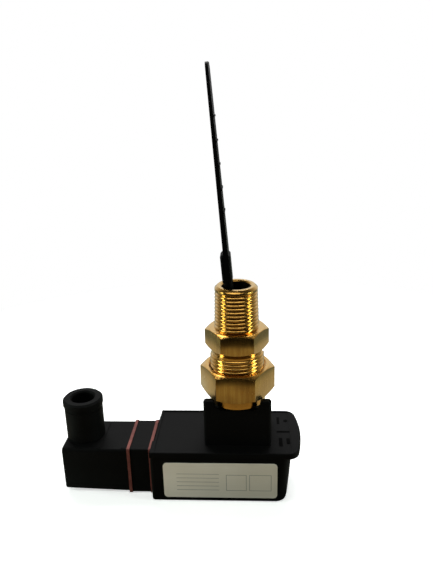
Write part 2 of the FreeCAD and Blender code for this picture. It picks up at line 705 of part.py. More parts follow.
def make_switch_lever():
    lever = lever_piece("switch_lever")
    half = s.lever_thick / 2
    cup_low = s.lever_top - s.cup_high
    lever.pad("XZ", [rectangle(-half, -s.lever_foot, half, cup_low + 0.5)], s.lever_wide, both=True)
    lever.fillet(0.8, both_tests(runs_along("y"), lies_at("Z", -s.lever_foot)))
    lever.pad("XZ", [(0, 0, s.lever_hub / 2)], s.cheek_in * 2 - 0.5, both=True)
    lever.pad("XY", [(0, 0, s.cup_wide / 2)], s.cup_high, cup_low)
    lever.cut("XY", [(0, 0, s.magnet_wide / 2 + s.fit_gap)], s.magnet_high + 1,
              s.lever_top - s.magnet_high)
    lever.cut("XZ", [(0, 0, s.pin_wide / 2 + s.running_gap)], s.cheek_in * 2 + 2, both=True)
    return keep(lever)


def make_lever_magnet():
    magnet = lever_piece("lever_magnet")
    magnet.pad("XY", [(0, 0, s.magnet_wide / 2)], s.magnet_high - s.fit_gap,
               s.lever_top - s.magnet_high + s.fit_gap)
    return keep(magnet)


def make_switch_bracket():
    bracket = Piece("switch_bracket")
    low = s.bracket_top - s.bracket_thick
    half = s.bracket_wide / 2
    bracket.pad("XY", [centred(s.bracket_long / 2, half)], s.bracket_thick, low)
    cheek_out = s.cheek_in + s.cheek_thick
    top = s.lever_pivot + s.pin_wide / 2 + 2
    for side in (-1, 1):
        ys = (s.cheek_in, cheek_out) if side > 0 else (-cheek_out, -s.cheek_in)
        bracket.pad("XY", [rectangle(-s.cheek_long / 2, ys[0], s.cheek_long / 2, ys[1])],
                    top - s.bracket_top, s.bracket_top)
    bracket.cut("XY", [centred(s.cheek_long / 2 + 1.2, s.cheek_in)], s.bracket_thick + 1, low - 0.5)
    face = s.switch_thick / 2
    bracket.pad("XY", [rectangle(0, face, s.switch_face + s.switch_deep + 4, cheek_out)],
                low - s.body_floor - 1.5, s.body_floor + 1.5)
    bracket.fillet(1.2, both_tests(runs_along("y"), lies_at("Z", top)))
    bracket.cut("XZ", [(0, s.lever_pivot, s.pin_wide / 2 + s.fit_gap)], s.bracket_wide + 2, both=True)
    bracket.cut("XY", [(side * s.bracket_post_x, 0, s.screw_wide / 2 + 0.15) for side in (-1, 1)],
                s.bracket_thick + 1, low - 0.5)
    holes = [(x, z, 1.0 + s.fit_gap) for x, z in switch_holes()]
    bracket.cut("XZ", holes, cheek_out + 1, -cheek_out - 1)
    return keep(bracket)


def switch_holes():
    x = s.switch_face + s.switch_deep - 1.9
    return [(x, s.switch_low + 3), (x, s.switch_low + s.switch_high - 3)]


def make_bracket_screws():
    low = s.bracket_top - s.bracket_thick
    length = s.body_high - low + 0.8
    screws = [screw(f"bracket_screw_{i}", (side * s.bracket_post_x, 0, low), (1, 0, 0), 180, length)
              for i, side in enumerate((-1, 1))]
    return group("bracket_screws", screws)


def make_microswitch():
    case = Piece("microswitch_body")
    face, deep = s.switch_face, s.switch_deep
    case.pad("XZ", [rectangle(face, s.switch_low, face + deep, s.switch_low + s.switch_high)],
             s.switch_thick, both=True)
    case.chamfer(0.4, runs_along("y"))
    case.cut("YZ", [(0, s.plunger_high, s.plunger_wide / 2 + s.running_gap)],
             s.plunger_long + 1, face - 0.5)
    case.cut("XZ", [(x, z, 1.0 + s.fit_gap) for x, z in switch_holes()],
             s.switch_thick + 2, both=True)
    return keep(case)


def make_plunger():
    plunger = Piece("switch_plunger", (s.switch_face, 0, s.plunger_high), (0, 1, 0), 90)
    radius, proud = s.plunger_wide / 2, s.plunger_proud
    plunger.spin([(0, -proud), (radius - 0.3, -proud), (radius, 0.3 - proud),
                  (radius, s.plunger_long - proud), (0, s.plunger_long - proud)])
    return keep(plunger)


def make_switch_screws():
    screws = []
    for i, (x, z) in enumerate(switch_holes()):
        piece = Piece(f"switch_screw_{i}", (x, -s.switch_thick / 2, z), (1, 0, 0), 90)
        long = s.switch_thick + s.cheek_in + s.cheek_thick - s.switch_thick / 2
        piece.spin([(0, -long), (1.0, -long), (1.0, 0), (1.9, 0), (1.9, 0.9), (1.5, 1.3), (0, 1.3)])
        piece.cut("XY", [centred(3, 0.3)], 1.6, 0.7)
        screws.append(piece)
    return group("switch_screws", screws)


def terminal_heights():
    middle = s.switch_low + s.switch_high / 2
    return [middle - 4.6, middle, middle + 4.6]


def make_switch_terminals():
    back = s.switch_face + s.switch_deep
    blades = []
    for i, z in enumerate(terminal_heights()):
        piece = Piece(f"switch_terminal_{i}")
        piece.pad("YZ", [centred(1.0, 0.25, 0, z)], 4, back)
        blades.append(piece)
    return group("switch_terminals", blades)


# ---------------------------------------------------------------- connector block and plug
def contact_places(inset=0):
    """The three line contacts, then the earth contact: (y, z, upright)."""
    side, rise = contact_y - inset, contact_z - inset
    return [(-side, line, True), (side, line, True), (0, line + rise, False),
            (0, line - rise, False)]


def blade_shape(place, grow=0):
    y, z, upright = place
    long, thin = s.blade_pin / 2 + grow, s.blade_pin_thick / 2 + grow
    return centred(thin if upright else long, long if upright else thin, y, z)


def ring_section(half_y, half_z):
    return centred(half_y, half_z, 0, line)


def make_connector_block():
    block = Piece("connector_block")
    half_y, half_z = s.plug_wide / 2, s.plug_high / 2
    block.pad("YZ", [ring_section(half_y, half_z)], s.block_long, block_end)
    block.fillet(s.block_round, runs_along("x"))
    block.pad("YZ", [(0, line, spigot_round)], s.gasket_thick + s.spigot_long, gasket_back)
    places = contact_places()
    long = s.block_long + s.gasket_thick + s.spigot_long
    block.cut("YZ", [blade_shape(place, s.fit_gap) for place in places], long + 1, block_end - 0.5)
    screws = block_screw_places()
    block.cut("YZ", [(y, z, s.screw_wide / 2 + s.fit_gap) for y, z in screws],
              s.block_long + 1, block_end - 0.5)
    block.cut("YZ", [(y, z, s.head_wide / 2 + 0.15) for y, z in screws],
              s.head_high + 0.7, block_end - 0.5)
    block.cut("YZ", [(0, line, s.screw_wide / 2 + s.fit_gap)], s.block_long, block_end - 0.5)
    return keep(block)


def make_block_screws():
    seat = block_end + s.head_high + 0.2
    length = -seat - s.body_left + s.body_wall
    screws = [screw(f"block_screw_{i}", (seat, y, z), (0, 1, 0), -90, length)
              for i, (y, z) in enumerate(block_screw_places())]
    return group("block_screws", screws)


def contact_blade(label, place):
    piece = Piece(label)
    back = block_end - s.pin_reach
    long = blade_end - back
    piece.pad("YZ", [blade_shape(place)], long, back)
    return piece


def make_contact_pins():
    places = contact_places()
    pins = [contact_blade(f"contact_pin_{i}", place) for i, place in enumerate(places[:3])]
    keep(contact_blade("earth_pin", places[3]))
    return group("contact_pins", pins)


def make_gaskets():
    half_y, half_z = s.plug_wide / 2 + s.gasket_proud, s.plug_high / 2 + s.gasket_proud
    inner = Piece("housing_gasket")
    holes = [(y, z, s.screw_wide / 2 + 0.2) for y, z in block_screw_places()]
    inner.pad("YZ", [ring_section(half_y, half_z), (0, line, spigot_round + 0.2)] + holes,
              s.gasket_thick, gasket_back)
    outer = Piece("plug_gasket")
    outer.pad("YZ", [ring_section(half_y, half_z), ring_section(half_y - 2.4, half_z - 2.4)],
              s.gasket_thick, plug_face)
    for gasket in (inner, outer):
        gasket.fillet(s.gasket_round, both_tests(runs_along("x"), on_corner(half_y, half_z)))
        keep(gasket)


def on_corner(half_y, half_z):
    """Test for the edges along X at the outer corners of the plug's square."""
    def test(edge):
        centre = edge.BoundBox.Center
        wide = abs(abs(centre.y) - half_y.number) < 0.01
        return wide and abs(abs(centre.z - line.number) - half_z.number) < 0.01
    return test


def make_plug_housing():
    plug = Piece("plug_housing")
    half_y, half_z = s.plug_wide / 2, s.plug_high / 2
    step = s.plug_step
    low, high = line - half_z, line + half_z
    waist_end = plug_face - s.plug_flange - s.plug_waist
    side = [(plug_face, low), (plug_face, high), (plug_back, high), (plug_back, low + s.plug_rise)]
    plug.pad("XZ", [side], s.plug_wide, both=True)

    def long_edge(edge):
        box = bounds(edge)
        return box.XLength > 2 and box.YLength < 0.01 and abs(box.YMin) > half_y.number - 0.01
    plug.fillet(s.plug_round, long_edge)

    def back_edge(edge):
        return bounds(edge).XMax < plug_back.number + 0.01
    plug.fillet(0.8, back_edge)
    waist = rectangle(waist_end, high - step, plug_face - s.plug_flange, high + 1)
    plug.cut("XZ", [waist], s.plug_wide + 2, both=True)
    collar = s.gland_wide / 2
    plug.pad("XY", [(-s.gland_x, 0, collar)], s.gland_top - line, line)
    cavity = ring_section(half_y - s.plug_wall, half_z - s.plug_wall)
    plug.cut("YZ", [cavity], s.plug_long - s.plug_end + 1, plug_back + s.plug_end)
    plug.cut("XY", [(-s.gland_x, 0, s.gland_bore / 2)], s.gland_top, s.gland_ledge)
    plug.cut("XY", [(-s.gland_x, 0, s.gland_bore / 2 - 1.4)], s.gland_top, line)
    guide_long = plug_face - s.carrier_long - 1.8 - plug_back - s.plug_end
    plug.pad("YZ", [(0, line, 4.4)], guide_long + 0.5, plug_back + s.plug_end - 0.5)
    plug.cut("YZ", [(0, line, s.screw_wide / 2 + 0.2)], guide_long + s.plug_end + 1, plug_back - 0.5)
    plug.cut("YZ", [(0, line, s.head_wide / 2 + 0.3)], s.head_high + 1.9, plug_back - 0.5)
    return keep(plug)


def carrier_back():
    return plug_face - s.carrier_long - 1.8


def make_terminal_carrier():
    carrier = Piece("terminal_carrier")
    half_y, half_z = s.plug_wide / 2 - s.plug_wall, s.plug_high / 2 - s.plug_wall
    carrier.pad("YZ", [ring_section(half_y - s.fit_gap, half_z - s.fit_gap)],
                s.carrier_long, carrier_back())
    carrier.chamfer(1.5, runs_along("x"))
    cells = [socket_shape(place, s.fit_gap) for place in contact_places()]
    carrier.cut("YZ", cells, s.carrier_long + 1, carrier_back() + 1.5)
    holes = [(y, z, s.screw_wide / 2 + s.fit_gap) for y, z, _ in contact_places(s.terminal_inset)]
    carrier.cut("YZ", holes, 4, carrier_back() - 0.5)
    carrier.cut("YZ", [(0, line, s.screw_wide / 2 + 0.2)], s.carrier_long + 1, carrier_back() - 0.5)
    return keep(carrier)


def socket_shape(place, grow=0):
    y, z, upright = place
    long, thin = s.blade_pin / 2 + 0.7 + grow, s.blade_pin_thick / 2 + 1.0 + grow
    return centred(thin if upright else long, long if upright else thin, y, z)


def make_contact_sockets():
    sockets = []
    for i, place in enumerate(contact_places()):
        piece = Piece(f"contact_socket_{i}")
        low = carrier_back() + 1.5 + s.fit_gap
        piece.pad("YZ", [socket_shape(place)], s.carrier_long - 2, low)
        piece.cut("YZ", [blade_shape(place, 0.15)], s.carrier_long, low + 3)
        sockets.append(piece)
    return group("contact_sockets", sockets)


def make_terminal_screws():
    screws = []
    for i, (y, z, _) in enumerate(contact_places(s.terminal_inset)):
        screws.append(screw(f"terminal_screw_{i}", (carrier_back(), y, z), (0, 1, 0), -90,
                            as_size(1.4), s.terminal_head, as_size(1.5)))
    return group("terminal_screws", screws)


def make_plug_screw():
    seat = plug_back + s.head_high + 1.4
    bolt = screw("plug_screw", (seat - 0.9, 0, line), (0, 1, 0), -90,
                 s.plug_long + s.gasket_thick + s.block_long - 4)
    washer = ring("plug_screw_seal", s.screw_wide / 2 + 0.1, s.head_wide / 2, 0, 0.85,
                  (seat, 0, line), (0, 1, 0), -90)
    keep(bolt)
    return keep(washer)


def make_gland():
    x = -s.gland_x
    hole, shank = s.gland_hole / 2, s.gland_bore / 2 - 0.1
    head, top = s.gland_head / 2, s.gland_top + 0.1 + s.gland_head_high
    seat = s.gland_top + 0.1
    foot = seat - s.gland_shank
    rim_low = top - s.gland_rim
    nut = Piece("gland_screw", (x, 0, 0))
    nut.spin([(hole, foot), (shank, foot), (shank, seat), (head - 0.6, seat), (head - 0.6, rim_low),
              (head, rim_low + 0.3), (head, top - 0.9), (head - 0.9, top), (hole + 0.8, top),
              (hole, top - 0.8)])
    keep(nut)
    washer_low = foot - s.fit_gap - s.washer_thick
    keep(ring("gland_washer", hole + 0.2, shank, washer_low, foot - s.fit_gap, (x, 0, 0)))
    grommet = ring("gland_grommet", s.grommet_hole / 2, shank, s.gland_ledge, washer_low - s.fit_gap,
                   (x, 0, 0))
    return keep(grommet)


MAKERS = [
    make_housing_body, make_housing_lid, make_lid_seal, make_rating_plate, make_housing_screws,
    make_process_adapter, make_union_nut, make_union_seal, make_dividing_sleeve, make_sleeve_clip,
    make_paddle_carrier, make_carrier_dowels, make_paddle_holder, make_paddle_blade,
    make_paddle_magnet, make_switch_lever, make_lever_magnet, make_switch_bracket,
    make_bracket_screws, make_microswitch, make_plunger, make_switch_screws, make_switch_terminals,
    make_connector_block, make_block_screws, make_contact_pins, make_gaskets,
    make_plug_housing, make_terminal_carrier, make_contact_sockets, make_terminal_screws,
    make_plug_screw, make_gland,
]
for make in MAKERS:
    make()
pin("paddle_pin", s.pivot_high, s.carrier_bore / 2 - 0.5)
pin("lever_pin", s.lever_pivot, s.cheek_in + s.cheek_thick)
doc.recompute()

failed = [item.Name for item in doc.Objects if "Invalid" in item.State or "Error" in item.State]
if failed:
    raise RuntimeError(f"features not built: {failed}")
for label, item in PIECES.items():
    if item.Shape.isNull() or not item.Shape.isValid():
        raise RuntimeError(f"{label} has no valid shape")
for label, item in PIECES.items():
    item.Shape.exportStep(f"parts/{label}.step")
    box = item.Shape.BoundBox
    print(f"{label:18s} solids {len(item.Shape.Solids)} volume {item.Shape.Volume:9.1f} "
          f"x {box.XMin:7.2f} {box.XMax:7.2f} y {box.YMin:7.2f} {box.YMax:7.2f} "
          f"z {box.ZMin:7.2f} {box.ZMax:7.2f}")
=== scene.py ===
# %% [markdown]
# # A paddle flow switch, dressed in Blender
# The solids come ready from the construction, each in its right place. This notebook gives them
# their finish: moulded nylon, turned and drawn brass, silicone rubber, a film label. It also makes
# the few shapes that the solids keep plain, above all the two screw threads. Lengths are in metres.
# The pipe's axis is Z, and the cable plug is on the side of minus X.

# %% Load the solids
import math

import bmesh
import bpy
from mathutils import Matrix, Vector


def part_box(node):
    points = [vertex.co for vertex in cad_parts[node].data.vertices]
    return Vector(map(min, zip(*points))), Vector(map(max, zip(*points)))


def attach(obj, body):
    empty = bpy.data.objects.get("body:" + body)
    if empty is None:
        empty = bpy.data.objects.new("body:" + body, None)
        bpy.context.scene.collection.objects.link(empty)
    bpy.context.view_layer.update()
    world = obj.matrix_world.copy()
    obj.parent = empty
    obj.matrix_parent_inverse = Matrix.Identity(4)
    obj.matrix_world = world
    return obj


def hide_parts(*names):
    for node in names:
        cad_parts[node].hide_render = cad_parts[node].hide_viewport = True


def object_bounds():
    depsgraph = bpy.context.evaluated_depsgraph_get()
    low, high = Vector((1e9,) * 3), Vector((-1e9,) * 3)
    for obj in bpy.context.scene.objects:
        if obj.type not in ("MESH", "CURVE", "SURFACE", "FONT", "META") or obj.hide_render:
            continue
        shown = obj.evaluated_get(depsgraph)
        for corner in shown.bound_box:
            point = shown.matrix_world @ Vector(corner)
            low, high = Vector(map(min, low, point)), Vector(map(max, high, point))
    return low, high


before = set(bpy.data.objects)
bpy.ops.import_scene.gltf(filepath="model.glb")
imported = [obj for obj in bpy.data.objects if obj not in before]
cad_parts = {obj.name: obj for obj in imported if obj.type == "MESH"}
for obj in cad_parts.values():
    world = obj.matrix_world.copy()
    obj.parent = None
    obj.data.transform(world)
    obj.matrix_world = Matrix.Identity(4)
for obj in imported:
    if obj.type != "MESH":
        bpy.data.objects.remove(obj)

cad_low, cad_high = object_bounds()
print("solids:", len(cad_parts), "size in mm:", [round(1000 * s, 1) for s in cad_high - cad_low])

# %% [markdown]
# ## Looking at it
# The switch stands on its flat base with the paddle straight up, and we look down on it a little
# from the front. A camera needs a place and three directions: to its right, up, and forwards. Two
# turns give the forward direction, and a third one rolls the view a touch. The directions could be
# typed as Euler angles too, but worked out like this, each step can be checked.

# %% Camera
yaw, pitch_down, roll = math.radians(-3.46), math.radians(18.85), math.radians(-1.49)
camera_place = Vector((0.0064, -0.2595, 0.19456))
focal_length = 36.24     # in millimetres
flat = math.cos(pitch_down)
forward = Vector((math.sin(yaw) * flat, math.cos(yaw) * flat, -math.sin(pitch_down)))
level = Vector((math.cos(yaw), -math.sin(yaw), 0))
upright = level.cross(forward)
right = level * math.cos(roll) + upright * math.sin(roll)
up = upright * math.cos(roll) - level * math.sin(roll)
camera_data = bpy.data.cameras.new("camera")
camera_data.lens = focal_length
camera_data.clip_start = 0.01
camera = bpy.data.objects.new("camera", camera_data)
bpy.context.scene.collection.objects.link(camera)
facing = Matrix((right, up, -forward)).transposed().to_4x4()
camera.matrix_world = Matrix.Translation(camera_place) @ facing
bpy.context.scene.camera = camera
bpy.context.scene.view_settings.view_transform = "Standard"
print("camera looks along", [round(c, 2) for c in forward])

# %% [markdown]
# ## Writing materials as sums
# A material in Blender is a graph of nodes. Drawn by hand it soon fills the screen, so here a
# small class wraps a socket and lets Python's own signs add the Math nodes: `1 - mask` or
# `grain * 0.2 + 0.4` reads as it works. Every other node comes from one method, `node`.

# %% Sockets that can be added and multiplied
class Socket:
    """A number or colour inside a material."""

    def __init__(self, finish, plug):
        self.finish = finish
        self.plug = plug

    def __add__(self, other):
        return self.finish.maths("ADD", self, other)

    def __sub__(self, other):
        return self.finish.maths("SUBTRACT", self, other)

    def __rsub__(self, other):
        return self.finish.maths("SUBTRACT", other, self)

    def __mul__(self, other):
        return self.finish.maths("MULTIPLY", self, other)

    def __truediv__(self, other):
        return self.finish.maths("DIVIDE", self, other)

    def __rtruediv__(self, other):
        return self.finish.maths("DIVIDE", other, self)

    def __lt__(self, other):
        return self.finish.maths("LESS_THAN", self, other)

    def __gt__(self, other):
        return self.finish.maths("GREATER_THAN", self, other)

    __radd__ = __add__
    __rmul__ = __mul__

    def within(self, low, high):
        """0 below low, 1 above high, and an even slope between."""
        return self.finish.node("ShaderNodeMapRange", {"clamp": True}, {0: self, 1: low, 2: high})


print("a socket understands + - * / < > and within(low, high)")

# %% Finishes written in Python
class Finish:
    """A material, or the world's light, that is written in Python."""

    def __init__(self, name, owner=None):
        self.owner = owner or bpy.data.materials.new(name)
        self.owner.use_nodes = True
        self.tree = self.owner.node_tree
        self.tree.nodes.clear()

    def node(self, kind, settings=None, sockets=None, output=0):
        """Any node: its settings come first, then the values or links of its sockets."""
        made = self.tree.nodes.new(kind)
        for name, value in (settings or {}).items():
            setattr(made, name, value)
        for name, value in (sockets or {}).items():
            if isinstance(value, Socket):
                self.tree.links.new(value.plug, made.inputs[name])
            else:
                made.inputs[name].default_value = value
        return Socket(self, made.outputs[output] if len(made.outputs) else None)

    def maths(self, operation, *numbers):
        return self.node("ShaderNodeMath", {"operation": operation}, dict(enumerate(numbers)))

    def place(self, scale=(1, 1, 1), centre=(0, 0, 0)):
        """Object coordinates, moved to a centre and stretched."""
        here = self.node("ShaderNodeTexCoord", output="Object")
        moved = self.node("ShaderNodeVectorMath", {"operation": "SUBTRACT"}, {0: here, 1: centre})
        return self.node("ShaderNodeVectorMath", {"operation": "MULTIPLY"}, {0: moved, 1: scale})

    def along(self, axis, place):
        """One coordinate of a place; axis is X, Y or Z."""
        return self.node("ShaderNodeSeparateXYZ", None, {0: place}, axis)

    def noise(self, scale, detail=3, rough=0.5):
        """Noise from 0 to 1; scale is how many patches fit in a metre along X, Y and Z."""
        spots = {"Vector": self.place(scale), "Scale": 1, "Detail": detail, "Roughness": rough}
        return self.node("ShaderNodeTexNoise", None, spots)

    def mix(self, share, one, other):
        """From one colour to the other as the share goes from 0 to 1."""
        first, second = [(*c, 1) if isinstance(c, tuple) else c for c in (one, other)]
        return self.node("ShaderNodeMix", {"data_type": "RGBA"}, {0: share, 6: first, 7: second}, 2)

    def bump(self, height, depth):
        """A normal from a height between 0 and 1; depth is the full relief in metres."""
        return self.node("ShaderNodeBump", None, {"Height": height, "Distance": depth})

    def surface(self, **sockets):
        named = {name.replace("_", " "): value for name, value in sockets.items()}
        shader = self.node("ShaderNodeBsdfPrincipled", None, named)
        self.node("ShaderNodeOutputMaterial", None, {"Surface": shader})
        return self.owner


def rgb(red, green, blue):
    """A colour as it is picked on a screen, 0 to 255, turned into the linear values of a shader."""
    return tuple(c / 255 / 12.92 if c <= 10 else ((c / 255 + 0.055) / 1.055) ** 2.4
                 for c in (red, green, blue))


print("a mid grey of 128 is", round(rgb(128, 128, 128)[0], 3), "in a shader")

# %% [markdown]
# ## Moulded black nylon
# The housing, its lid and the cable plug are injection moulded from glass-filled nylon. The mould
# is spark-eroded, which leaves a fine, even grain: it takes most of the gloss away and makes the
# black look grey where light grazes it. One flat black would look like a hole. An image of real
# nylon could be wrapped round the solids, but noise on their own coordinates needs no seams: a
# bump whose grains are half a millimetre wide, a slow cloudiness in the gloss where hands have
# polished it, and a few pale scuffs.

# %% Black nylon
mould_grain = 0.00005    # relief that the spark-eroded mould leaves
scuff_grey = rgb(48, 48, 47)


def moulded_nylon(name, dark, light, gloss):
    nylon = Finish(name)
    grain = nylon.noise((1900, 1900, 1900), detail=2, rough=0.6)
    cloud = nylon.noise((55, 55, 80))
    scratches = nylon.noise((900, 160, 500), detail=4, rough=0.7).within(0.66, 0.78)
    scuffs = scratches * nylon.noise((90, 90, 90)).within(0.5, 0.65)
    tint = nylon.mix(cloud.within(0.3, 0.7), dark, light)
    return nylon.surface(Base_Color=nylon.mix(scuffs * 0.3, tint, scuff_grey),
                         Roughness=gloss + cloud * 0.16 - scuffs * 0.08,
                         Specular_IOR_Level=0.05, Normal=nylon.bump(grain, mould_grain))


black_nylon = moulded_nylon("black_nylon", rgb(7, 7, 7), rgb(12, 12, 12), gloss=0.5)
print("made", black_nylon.name)

# %% [markdown]
# ## Brass, turned and drawn
# The fitting and the nut start as drawn hexagon bar. Where the tool has turned them the brass is
# bright, with rings as fine as the feed. The flats keep the skin of the drawing die: streaks along
# the bar, a darker gold. Both are one metal with two textures, so one function makes them and the
# stretch of the noise tells them apart: squeezed along Z for rings, drawn out along Z for streaks.
# Metal pales where it is seen edge on. A Layer Weight node gives how edge on a face is, and mixes
# a pale gold into the base colour there. This is partly the metal's own paling and partly a painted
# sheen, because it is wider and stronger than that paling.

# %% Brass
stain_brown = rgb(150, 104, 46)
painted_sheen_gold = rgb(232, 208, 156)


def brass(name, stretch, streak, gloss, bright, dull, relief):
    """Brass with lines of one stretch; streak is how much they darken it, relief how deep they are."""
    metal = Finish(name)
    lines = metal.noise(stretch, detail=4, rough=0.65)
    broad = metal.noise(tuple(s * 0.22 for s in stretch), detail=2)
    stain = metal.noise((130, 130, 110), detail=4).within(0.45, 0.75)
    worn = metal.mix(lines.within(0.3, 0.7) * streak + broad.within(0.35, 0.65) * streak, bright, dull)
    stained = metal.mix(stain * 0.35, worn, stain_brown)
    # painted sheen: the base colour turns pale gold where a face is seen edge on, beyond the metal's own
    # paling
    grazing = metal.node("ShaderNodeLayerWeight", None, {"Blend": 0.5}, "Facing")
    return metal.surface(Base_Color=metal.mix(grazing.within(0.35, 0.9), stained, painted_sheen_gold),
                         Metallic=1.0, Roughness=gloss + lines * 0.14 + stain * 0.08,
                         Normal=metal.bump(lines, relief))


turned_brass = brass("turned_brass", stretch=(60, 60, 5200), streak=0.16, gloss=0.12,
                     bright=rgb(226, 174, 86), dull=rgb(194, 134, 54), relief=0.000008)
drawn_brass = brass("drawn_brass", stretch=(1500, 1500, 45), streak=0.4, gloss=0.14,
                    bright=rgb(216, 182, 104), dull=rgb(150, 110, 54), relief=0.000004)
inner_brass = brass("inner_brass", stretch=(900, 900, 300), streak=0.3, gloss=0.2,
                    bright=rgb(232, 188, 96), dull=rgb(190, 146, 72), relief=0.00001)
print("made", turned_brass.name, drawn_brass.name, inner_brass.name)

# %% [markdown]
# ## Rubber
# The two flat gaskets are pink silicone, dusty and matt. The small rings inside are black rubber.
# Dust lies in patches of a few millimetres and the skin has a grain ten times finer, so a material
# for rubber takes two noises: one for the colour and one for the bump.

# %% Rubbers
rubber_skin = 0.00003    # relief of the skin


def rubber(name, dark, light, gloss):
    soft = Finish(name)
    dust = soft.noise((260, 260, 260), detail=4, rough=0.7)
    skin = soft.noise((2600, 2600, 2600), detail=2)
    return soft.surface(Base_Color=soft.mix(dust.within(0.35, 0.7), dark, light),
                        Roughness=gloss + dust * 0.2, Specular_IOR_Level=0.3,
                        Normal=soft.bump(skin, rubber_skin))


pink_silicone = rubber("pink_silicone", rgb(104, 52, 46), rgb(136, 76, 68), gloss=0.6)
black_rubber = rubber("black_rubber", rgb(20, 20, 21), rgb(34, 34, 35), gloss=0.55)
print("made", pink_silicone.name, "and", black_rubber.name)

# %% [markdown]
# ## Small metals and inner plastics
# Screws and pins are steel or tinned brass, with faint lines from the tool. Magnets are sintered,
# so they look like fine grey stone. Hardly any light comes back out of the fitting's bore, and a
# very dark metal stands for that: the inside of fitting and nut is painted shade, not brass colour.
# The paddle and the marks on the lid are black nylon too, each with its own gloss, so they take the
# same function as the housing.

# %% Small metals and inner plastics
def plain_metal(name, bright, dull, gloss, stretch, relief):
    metal = Finish(name)
    lines = metal.noise(stretch, detail=4, rough=0.6)
    return metal.surface(Base_Color=metal.mix(lines.within(0.3, 0.7), bright, dull), Metallic=1.0,
                         Roughness=gloss + lines * 0.2, Normal=metal.bump(lines, relief))


zinc_steel = plain_metal("zinc_steel", rgb(196, 198, 200), rgb(150, 152, 155), gloss=0.24,
                         stretch=(700, 700, 2400), relief=0.00001)
tinned = plain_metal("tinned", rgb(214, 212, 204), rgb(182, 178, 168), gloss=0.3,
                     stretch=(1500, 300, 300), relief=0.000006)
# painted shade: a near black metal in place of brass on the inside of fitting and nut
bore_painted_shade = plain_metal("bore_painted_shade", rgb(30, 20, 11), rgb(14, 9, 5), gloss=0.45,
                         stretch=(60, 60, 3000), relief=0.00001)
sintered = plain_metal("sintered", rgb(120, 121, 124), rgb(82, 83, 86), gloss=0.5,
                       stretch=(4000, 4000, 4000), relief=0.00003)
paddle_plastic = moulded_nylon("paddle_plastic", rgb(6, 6, 6), rgb(10, 10, 10), gloss=0.4)
mark_black = moulded_nylon("mark_black", rgb(1, 1, 1), rgb(2, 2, 2), gloss=0.8)
inner_nylon = moulded_nylon("inner_nylon", rgb(70, 72, 74), rgb(88, 90, 92), gloss=0.4)
print("made", zinc_steel.name, tinned.name, bore_painted_shade.name, sintered.name)
print("made", paddle_plastic.name, mark_black.name, inner_nylon.name)

# %% [markdown]
# ## The label
# A pale film label sits on the front of the housing. This one is left without any words: it has
# only thin ruled fields, as a blank form has. They could be cut into the mesh, but ink has no
# thickness, so the lines are drawn by arithmetic on the place. A box is where two coordinates lie
# between their limits. A frame is the inside of a box less the inside of a slightly smaller one.

# %% Fields on the label
label_low, label_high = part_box("rating_plate")
label = Finish("label_film")
on_label = label.place((1000, 1000, 1000), label_low)      # millimetres from its lower left corner
across, rise = label.along("X", on_label), label.along("Z", on_label)
line_wide = 0.22         # of the frames
ruling = 2.3             # from one ruled line to the next


def box_mask(left, low, right_side, high):
    inside_x = (across > left) * (across < right_side)
    return inside_x * (rise > low) * (rise < high)


def frame_mask(left, low, right_side, high):
    hollow = box_mask(left + line_wide, low + line_wide, right_side - line_wide, high - line_wide)
    return box_mask(left, low, right_side, high) * (1 - hollow)


rules = frame_mask(31, 4.2, 41, 13.4) + frame_mask(42.4, 4.2, 53.2, 13.4)
for number in range(5):
    rules = rules + box_mask(6.5, 4.4 + ruling * number, 27.5, 4.6 + ruling * number)
print("label in mm:", [round(1000 * s, 1) for s in label_high - label_low])

# %% [markdown]
# ## The film
# The film is cream with faint brushing along it. It has yellowed in broad patches, and painted shade
# makes it a little greyer towards its right end.

# %% Label film
brushed = label.noise((90, 900, 2600), rough=0.6)
film = label.mix(brushed, rgb(242, 232, 216), rgb(254, 247, 236))
# painted shade: the film is mixed a little greyer towards its right end
shaded = label.mix(across.within(8, 56) * 0.4, film, rgb(206, 197, 184))
yellowed = label.noise((30, 30, 30)).within(0.35, 0.7) * 0.4
warm = label.mix(yellowed, shaded, rgb(208, 199, 178))
ruled = label.mix(label.maths("MINIMUM", rules, 1.0) * 0.75, warm, rgb(72, 70, 66))
label_film = label.surface(Base_Color=ruled, Metallic=0.0, Roughness=0.34 + brushed * 0.16,
                           Normal=label.bump(brushed, 0.000004))
print("made", label_film.name)

# %% [markdown]
# ## Handing out the finishes
# Every solid names the slot of the material it is made of. One table says which finish stands for
# which slot, and a loop puts it there, so a solid that is added later is dressed by itself.

# %% Finishes on the solids
finish_of = {
    "black_nylon": black_nylon, "inner_plastic": inner_nylon, "paddle_plastic": paddle_plastic,
    "brass": inner_brass, "steel": zinc_steel, "tinned_brass": tinned, "seal_rubber": black_rubber,
    "pink_gasket": pink_silicone, "magnet": sintered, "label": label_film,
}
for name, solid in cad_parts.items():
    for held in solid.material_slots:
        held.material = finish_of[held.material.name.split(".")[0]]
print("dressed", len(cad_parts), "solids")

# %% [markdown]
# ## Shaping by hand, from code
# The operators of edit mode act on what is selected. These helpers take one object into edit
# mode, select its points by their place, and bring it back out. Working on a merged copy of a
# solid saves drawing the hexagon again: the copy is welded first, because its triangles come loose.

# %% Helpers for edit mode
weld = 0.000002          # points nearer than this become one


def only(piece):
    """Makes one object the selected and active one."""
    bpy.ops.object.select_all(action="DESELECT")
    piece.select_set(True)
    bpy.context.view_layer.objects.active = piece


def edit(piece):
    only(piece)
    bpy.ops.object.mode_set(mode="EDIT")


def done():
    bpy.ops.object.mode_set(mode="OBJECT")


def pick(piece, test):
    """In edit mode, selects the points whose place passes the test, and no others."""
    bpy.ops.mesh.select_mode(type="VERT")
    bpy.ops.mesh.select_all(action="DESELECT")
    shape = bmesh.from_edit_mesh(piece.data)
    for point in shape.verts:
        point.select = bool(test(point.co))
    shape.select_flush(True)
    bmesh.update_edit_mesh(piece.data)


